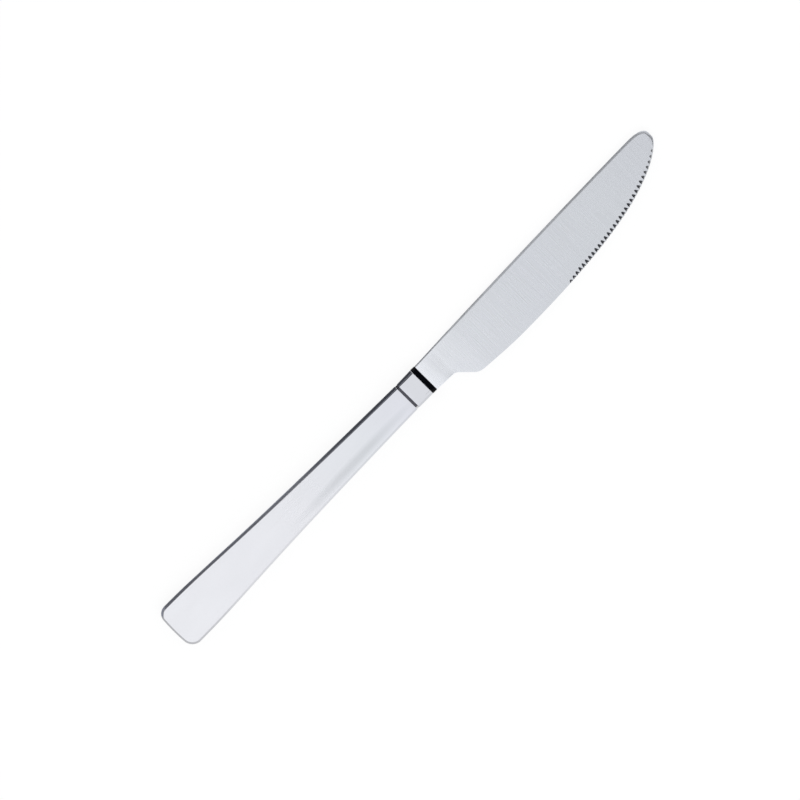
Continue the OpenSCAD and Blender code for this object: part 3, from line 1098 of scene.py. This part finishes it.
# Painted shade lifted to lighter steel near the edge line.
EDGE_LINE_LIFT_STOPS = [(0.1, (0.7, 0.71, 0.73)), (0.27, (0.6, 0.61, 0.63)), (0.37, (0.25, 0.26, 0.28)),
             (0.47, grey(0))]


def lighten(wiring, shader, colour):
    """Lets a colour show where it is lighter than the one that the shader has."""
    own = shader.inputs["Base Color"].links[0].from_socket
    wiring.link(blend(wiring, "LIGHTEN", own, colour), shader.inputs["Base Color"])


wiring, shader = satin(flute_shade_steel, FLUTE_SHADE_STOPS, roughness=(0.42, 0.55), relief=0.000002)
distance = wiring.add("Attribute", attribute_name="from_edge")
lighten(wiring, shader, wiring.tint(distance.outputs["Fac"], EDGE_LINE_LIFT_STOPS))

# %% [markdown]
# The ring is a glossy black moulding. Pure black would look like a hole, so it gets a very deep grey
# with a fine unevenness in its gloss, as moulded plastic has. It mirrors only a little of the bright
# studio, though its faces slope towards it, so we set its shine low.

# %% The black of the neck ring
BLACK_GRAIN = (2600, 2600, 2600)
BLACK_STOPS = [(0.3, (0.0005, 0.0007, 0.0018)), (0.7, (0.001, 0.0012, 0.0028))]
BLACK_SHINE = 0.05
BLACK_ROUGHNESS = (0.26, 0.36)
BLACK_RELIEF = 0.000001
ring_black = bpy.data.materials.new("ring_black_gloss")
wiring, shader = start_finish(ring_black)
shader.inputs["Specular IOR Level"].default_value = BLACK_SHINE
grain = wiring.noise(BLACK_GRAIN, detail=4)
wiring.link(wiring.tint(grain, BLACK_STOPS), shader.inputs["Base Color"])
wiring.link(wiring.spread(grain, *BLACK_ROUGHNESS), shader.inputs["Roughness"])
emboss(wiring, grain, BLACK_RELIEF, shader)
print("black ring:", len(wiring.nodes), "nodes")

# %% [markdown]
# The cement fills the handle round the tang. It stays as the packed solid, since nobody sees its
# shape, but it still gets a finish: a pale grey with sandy grains and small pores.

# %% The cement in the handle
SAND_GRAIN = (1900, 1900, 1900)
SAND_STOPS = [(0.3, (0.42, 0.40, 0.36)), (0.7, (0.62, 0.60, 0.55))]
SAND_ROUGHNESS = (0.75, 0.95)
SAND_RELIEF = 0.00004
PORE_GRAIN = (700, 700, 700)
PORE_STOPS = [(0.3, grey(0.6)), (0.42, grey(1))]
cement_finish = bpy.data.materials.new("cement_sandy")
wiring, shader = start_finish(cement_finish)
grains = wiring.noise(SAND_GRAIN, detail=6)
pores = wiring.noise(PORE_GRAIN, detail=2)
colour = blend(wiring, "MULTIPLY", wiring.tint(grains, SAND_STOPS), wiring.tint(pores, PORE_STOPS))
wiring.link(colour, shader.inputs["Base Color"])
wiring.link(wiring.spread(grains, *SAND_ROUGHNESS), shader.inputs["Roughness"])
emboss(wiring, grains, SAND_RELIEF, shader)
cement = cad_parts["tang_cement"]
cement.material_slots[0].material = cement_finish
print("cement:", len(wiring.nodes), "nodes")

# %% [markdown]
# The groove's floor is the collar's spigot, turned and never polished. Its colour is painted shade,
# dark for the shade in the narrow groove, with painted light towards the lower end, where the floor
# mirrors lighter surroundings. It belongs to the collar, so it takes a second material on the same
# mesh: every face from behind up to just over the collar's own back edge gets it.

# %% The painted shade in the groove
# Painted shade: the groove floor is dark for the shade in the narrow groove.
GROOVE_SHADE_STOPS = [(0, (0.103, 0.103, 0.122)), (1, (0.103, 0.103, 0.122))]
# Painted light towards the lower end of the groove floor, where it mirrors lighter surroundings.
GROOVE_LIT_END_STOPS = [(0, (0.7, 0.7, 0.72)), (1, grey(0))]
LIT_END_REACH = (0.55, 0.95)
SHADE_SPILL = 0.02
groove_shade_steel = bpy.data.materials.new("groove_steel_painted_shade")
wiring, shader = satin(groove_shade_steel, GROOVE_SHADE_STOPS, roughness=(0.4, 0.5), relief=0.000002)
low_y, high_y = ((knife_to_frame @ Vector((0, reach - neck_w / 2, 0))).y for reach in LIT_END_REACH)
lighten(wiring, shader, wiring.tint(along_axis(wiring, "Y", low_y, high_y), GROOVE_LIT_END_STOPS))
collar.data.materials.append(handle_steel)
collar.data.materials.append(groove_shade_steel)
groove_end = (knife_to_frame @ Vector((collar_x + SHADE_SPILL, 0, 0))).x
for face in collar.data.polygons:
    face.material_index = int(face.center.x < groove_end)
print("groove faces:", sum(face.material_index for face in collar.data.polygons))

# %% [markdown]
# Each piece now gets its finish and is tied to the body that it moves with, while the solid that it
# stands for is hidden. The table also names the slot whose finish each piece wears, which the loop
# doesn't use. The knife has no moving parts, so every piece rides on its one body.

# %% Tie the pieces to the knife
front_shell.data.materials.append(handle_steel)
back_shell.data.materials.append(handle_steel)
neck_ring.data.materials.append(ring_black)
for piece, solid, slot in (
    (front_shell, "front_shell", "handle_steel"),
    (back_shell, "back_shell", "handle_steel"),
    (collar, "collar", "handle_steel"),
    (neck_ring, "neck_ring", "ring_black"),
    (blade, "blade", "blade_steel"),
):
    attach(piece, "root")
    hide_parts(solid)
    print(piece.name, "stands for", solid)

# %% [markdown]
# The knife was photographed from above on a plain white ground, turned by 45.3 degrees, with the
# camera a touch towards the edge side, so that the upright wall there just shows. A long lens from
# far away keeps the knife's sides from spreading. We set the width of the picture at the knife's
# height, and work out the focal length from it.

# %% The camera above the knife
CAMERA_REACH = 1.6
CAMERA_LEAN = math.radians(0.5)
PICTURE_WIDTH = 0.2558
PICTURE_MIDDLE = knife_to_frame @ Vector((103.38, 0.9, 0))
KNIFE_TURN = math.radians(45.3)
camera_data = bpy.data.cameras.new("camera")
camera_data.lens = camera_data.sensor_width * CAMERA_REACH / PICTURE_WIDTH
camera = bpy.data.objects.new("camera", camera_data)
lean = Matrix.Rotation(CAMERA_LEAN, 3, "X")
camera.location = PICTURE_MIDDLE + lean @ Vector((0, 0, CAMERA_REACH))
camera.rotation_euler = (lean @ Matrix.Rotation(-KNIFE_TURN, 3, "Z")).to_euler()
bpy.context.scene.collection.objects.link(camera)
bpy.context.scene.camera = camera
print(f"lens {camera_data.lens:.0f} mm, {CAMERA_REACH} m from the knife")

# %% [markdown]
# The ground should look white to the camera and in the steel, yet still darken softly under the
# knife. A plain diffuse floor would need so much light that it washed the knife out. The Light Path
# node can tell rays apart, so for the three kinds that see the set, the floor mixes a glowing white
# with a share that takes shadow. For all other rays it is a plain pale floor.

# %% Helpers for the set
def seen_rays(wiring):
    """1 for a ray from the camera, or one mirrored or let through by the object, else 0."""
    path = wiring.add("LightPath")
    total = path.outputs["Is Camera Ray"]
    for name in ("Is Glossy Ray", "Is Transmission Ray"):
        total = combine(wiring, "MAXIMUM", total, path.outputs[name])
    return total


def add_to_set(mesh, name):
    """An object of the set, and the wiring of its still empty material."""
    made = make_object(mesh, name)
    paint = bpy.data.materials.new(name + "_paint")
    paint.use_nodes = True
    paint.node_tree.nodes.clear()
    made.data.materials.append(paint)
    return made, Wiring(paint.node_tree)


print("helpers for the set ready")

# %% The pale floor
FLOOR_HALF = 3
FLOOR_DROP = 0.00003
FLOOR_PALE = (0.8, 0.8, 0.8, 1)
FLOOR_SHADED = (0.18, 0.18, 0.18, 1)
FLOOR_GLOW = 0.84
floor_mesh = bmesh.new()
bmesh.ops.create_grid(floor_mesh, x_segments=1, y_segments=1, size=FLOOR_HALF)
floor, wiring = add_to_set(floor_mesh, "floor")
floor.location = (0, 0, -FLOOR_DROP)
matte = wiring.add("BsdfDiffuse")
matte.inputs["Color"].default_value = FLOOR_PALE
shaded = wiring.add("BsdfDiffuse")
shaded.inputs["Color"].default_value = FLOOR_SHADED
glow = wiring.add("Emission")
glow.inputs["Strength"].default_value = FLOOR_GLOW
seen = wiring.add("AddShader")
choose = wiring.add("MixShader")
wiring.link(shaded.outputs["BSDF"], seen.inputs[0])
wiring.link(glow.outputs["Emission"], seen.inputs[1])
wiring.link(seen_rays(wiring), choose.inputs["Fac"])
wiring.link(matte.outputs["BSDF"], choose.inputs[1])
wiring.link(seen.outputs["Shader"], choose.inputs[2])
wiring.link(choose.outputs["Shader"], wiring.add("OutputMaterial").inputs["Surface"])
print("floor", 2 * FLOOR_HALF, "m wide")

# %% [markdown]
# The light is a plain white studio: an even white sky, and one broad soft lamp above that gives the
# shadow its direction. The sky is white to the camera and in the steel, and a little lower as a
# light, so that colours render about as they are written.

# %% The sky and the soft lamp
SKY_LIGHT = 0.75
LAMP_PLACE = (-0.3, -0.5, 1.5)
LAMP_SIZE = 1.2
LAMP_POWER = 6
world = bpy.data.worlds.new("white studio")
bpy.context.scene.world = world
world.use_nodes = True
wiring = Wiring(world.node_tree)
sky = wiring.nodes["Background"]
sky.inputs["Color"].default_value = (1, 1, 1, 1)
wiring.link(wiring.spread(seen_rays(wiring), SKY_LIGHT, 1, 0, 1), sky.inputs["Strength"])
lamp_data = bpy.data.lights.new("soft lamp", "AREA")
lamp_data.shape = "SQUARE"
lamp_data.size = LAMP_SIZE
lamp_data.energy = LAMP_POWER
lamp = bpy.data.objects.new("soft lamp", lamp_data)
lamp.location = LAMP_PLACE
lamp.rotation_euler = lamp.location.to_track_quat("Z", "Y").to_euler()
lamp.visible_glossy = False
bpy.context.scene.collection.objects.link(lamp)
print("sky", SKY_LIGHT, "and a lamp of", LAMP_POWER, "W")

# %% [markdown]
# Steel in an all-white room would lose its edges, so a photographer stands dark cards where the
# bevels look, and keeps them out of the flat faces' view, so that those stay bright. A card is a
# strip that is bent round the knife at one distance. It glows in its own tone and shows in the steel
# alone, so it blocks neither the light nor the camera. Each height on it is what one slope of the
# steel looks at, so its tone is a ramp over the height.

# %% Helpers for the cards
CARD_DISTANCE = 0.8
CARD_STEPS = 40
CARD_COOL = (0.95, 0.98, 1.12)


def cool(tone):
    return tuple(tone * share for share in CARD_COOL)


def height_to(elevation):
    """How high a card must be, to reach an elevation in degrees as seen from the knife."""
    return CARD_DISTANCE * math.tan(math.radians(elevation))


def add_card(mesh, name):
    """An object that shows in the steel only, its wiring, and the socket for its colour."""
    made, wiring = add_to_set(mesh, name)
    made.visible_camera = False
    made.visible_diffuse = False
    made.visible_shadow = False
    glow = wiring.add("Emission")
    wiring.link(glow.outputs["Emission"], wiring.add("OutputMaterial").inputs["Surface"])
    print(name, "has", len(made.data.polygons), "faces")
    return made, wiring, glow.inputs["Color"]


print("a card up to 45 degrees is", height_to(45), "m high")

# %% Tones that change with height and with the turn
def stand_card(name, turns, tones):
    """A card between two turns, in degrees, with tones from its foot up, as (elevation, colour)."""
    foot, top = height_to(tones[0][0]), height_to(tones[-1][0])
    mesh = bmesh.new()
    columns = []
    for i in range(CARD_STEPS + 1):
        turn = math.radians(mix(*turns, i / CARD_STEPS))
        x, y = CARD_DISTANCE * math.cos(turn), CARD_DISTANCE * math.sin(turn)
        columns.append([mesh.verts.new((x, y, z)) for z in (foot, top)])
    skin_between(mesh, columns)
    _, wiring, colour = add_card(mesh, name)
    stops = [((height_to(elevation) - foot) / (top - foot), tone) for elevation, tone in tones]
    wiring.link(wiring.tint(along_axis(wiring, "Z", foot, top), stops), colour)
    return wiring, colour


def round_share(wiring, first_turn, last_turn, back_turn=0):
    """0 at one turn round the object's own z axis and 1 at another, both in degrees."""
    turned = wiring.add("Mapping")
    turned.inputs["Rotation"].default_value = (0, 0, -math.radians(back_turn))
    radial = wiring.add("TexGradient", gradient_type="RADIAL")
    wiring.link(wiring.place(), turned.inputs["Vector"])
    wiring.link(turned.outputs["Vector"], radial.inputs["Vector"])
    first, last = ((turn - back_turn) / 360 + 0.5 for turn in (first_turn, last_turn))
    return wiring.spread(radial.outputs["Fac"], 0, 1, first, last)


print("each card has", CARD_STEPS, "faces round the knife")

# %% [markdown]
# The handle's bevel looks low over the ground, the blade's eased spine looks high, and its nose higher
# still. One tall card would do for all three, but the flat faces would then mirror it from many
# sides and turn dark. So there are four small ones, each only where its own part looks: a low dark
# one and a grey one above it beyond the spine, one round the nose, and a small one that faces the
# sloping black ring. The handle's bevel is steepest at the butt and looks 16 degrees up there, and 26
# at the neck, so the low card's tones from the foot up are those along the handle. A second ramp,
# over the turn, fades it out at its ends.

# %% The four cards
HIGH_TURNS = (62, 94)
HIGH_TONES = [(34, grey(0.12)), (37, grey(0.2)), (45, grey(0.32)), (53, grey(0.47)), (60, grey(0.57)),
              (65, grey(0.8))]
NOSE_TURNS = (-80, 62)
NOSE_TONES = [(44, grey(0.6)), (47, grey(0.22)), (53, grey(0.12)), (62, grey(0.18)), (67, grey(0.6))]
RING_TURNS = (-25, 25)
RING_TONES = [(1, grey(0.3)), (5, grey(0.02)), (17, grey(0.02)), (20, grey(0.3))]
LOW_TURNS = (68, 155)
LOW_TONES = [(0, cool(0.05)), (13, cool(0.05)), (15.4, cool(0.36)), (17.3, cool(0.14)),
             (18.6, cool(0.08)), (20.1, cool(0.24)), (22, cool(0.42)), (23, cool(0.06)),
             (24, cool(0.02)), (27, cool(0.01)), (31, cool(0.03)), (34, grey(0.12))]
LOW_FADES = [(68, 1), (80, 0), (91.7, 0), (92.4, 0.1), (94, 0.05), (96.5, 0.11), (104, 0.05),
             (109, 0.22), (148, 0.24), (155, 1)]
stand_card("high_card", HIGH_TURNS, HIGH_TONES)
stand_card("nose_card", NOSE_TURNS, NOSE_TONES)
stand_card("ring_card", RING_TURNS, RING_TONES)
wiring, colour = stand_card("low_card", LOW_TURNS, LOW_TONES)
dark = colour.links[0].from_socket
low_span = LOW_TURNS[1] - LOW_TURNS[0]
fades = [((turn - LOW_TURNS[0]) / low_span, grey(tone)) for turn, tone in LOW_FADES]
faded = wiring.tint(round_share(wiring, *LOW_TURNS), fades)
wiring.link(blend(wiring, "SCREEN", dark, faded), colour)

# %% [markdown]
# The upright walls and their rounded upper corners look down at the ground beside the knife. So
# sheets lie there that show in the steel only: a dark one on the spine's side, which carries the
# bevel's dark line out towards the outline and deepens away from the wall, and a grey one that draws
# a soft outline along the edge side. Each starts a little way from the wall, where the white ground
# leaves a fine light rim.

# %% The sheets beside the knife
SHEET_MARGIN = 0.06
SHEET_STEPS = 24
SHEET_DEEPENS = (0.02, 0.07)
DARK_REACH = 0.78
DARK_FAR = 0.55
DARK_GAPS = [(0, 0), (10, 0), (18, 3.5), (60, 3.5), (80, 2), (104, 2), (112, 4)]
DARK_TONES = [(0, cool(0.12)), (0.15, cool(0.15)), (0.35, cool(0.18)), (0.5, cool(0.22)),
              (0.62, cool(0.13)), (0.75, cool(0.085)), (1, cool(0.075))]
GREY_REACH = 0.3
GREY_FAR = 1
GREY_GAPS = [(0, 3), (26, 0), (112, 0)]
GREY_TONES = [(0.05, grey(0.66)), (0.14, grey(0.72)), (0.23, grey(0.83)), (0.6, grey(0.86)),
              (1, grey(0.87))]
corner_y = butt_w / 2 - CORNER_R[1]
corner_x = butt_curve_x(corner_y) + CORNER_R[1]


def lay_sheet(name, side, reach, gaps, tones, far):
    """A sheet from near the wall out to a reach in metres, with its tones times far out there."""
    gap_line = [Vector(gap) for gap in gaps]
    mesh = bmesh.new()
    columns = []
    for i in range(SHEET_STEPS + 1):
        share = i / SHEET_STEPS
        x = mix(corner_x, shoulder_x, share)
        wall = height_at(flare, min(x, shell_len))
        near = knife_to_frame @ Vector((x, side * (wall + height_at(gap_line, x)), 0))
        near.z = -FLOOR_DROP / 2
        away = Vector((near.x + SHEET_MARGIN * share, axis_y + side * reach, near.z))
        columns.append([mesh.verts.new(near), mesh.verts.new(away)])
    skin_between(mesh, columns)
    _, wiring, colour = add_card(mesh, name)
    along = wiring.tint(along_knife(wiring, 0, ring_x), tones)
    across = along_axis(wiring, "Y", *(axis_y + side * place for place in SHEET_DEEPENS))
    deeper = wiring.tint(across, [(0, grey(1)), (1, grey(far))])
    wiring.link(blend(wiring, "MULTIPLY", along, deeper), colour)


lay_sheet("dark_sheet", 1, DARK_REACH, DARK_GAPS, DARK_TONES, DARK_FAR)
lay_sheet("grey_sheet", -1, GREY_REACH, GREY_GAPS, GREY_TONES, GREY_FAR)

# %% [markdown]
# The bevel round the butt turns from the spine's side to the edge side, and where the two sheets met
# it would show a hard seam. So a half round sheet lies beyond the butt, a fan about a corner's
# centre, and its tone changes with the turn, from the dark sheet's to the grey one's.

# %% The half round sheet beyond the butt
FAN_STEPS = 36
FAN_TURNS = (90, 270)
FAN_TONES = [(0, cool(0.09)), (0.04, cool(0.26)), (0.3, cool(0.28)), (0.39, grey(0.44)),
             (0.47, grey(0.54)), (0.62, grey(0.54)), (0.7, grey(0.58)), (0.85, grey(0.58)),
             (0.94, grey(0.62)), (1, grey(0.66))]
fan_mesh = bmesh.new()
fan_middle = fan_mesh.verts.new((0, 0, 0))
rim = []
for i in range(FAN_STEPS + 1):
    turn = math.radians(mix(*FAN_TURNS, i / FAN_STEPS))
    rim.append(fan_mesh.verts.new((DARK_REACH * math.cos(turn), DARK_REACH * math.sin(turn), 0)))
for a, b in zip(rim, rim[1:]):
    fan_mesh.faces.new((fan_middle, a, b))
fan, wiring, colour = add_card(fan_mesh, "butt_sheet")
fan.location = knife_to_frame @ Vector((corner_x, corner_y, 0))
fan.location.z = -FLOOR_DROP / 2
wiring.link(wiring.tint(round_share(wiring, *FAN_TURNS, sum(FAN_TURNS) / 2), FAN_TONES), colour)

# %% [markdown]
# The picture is kept as plain colour, with no film look, so that a white of 1 is white on the
# page.

# %% Plain colour
bpy.context.scene.view_settings.view_transform = "Standard"
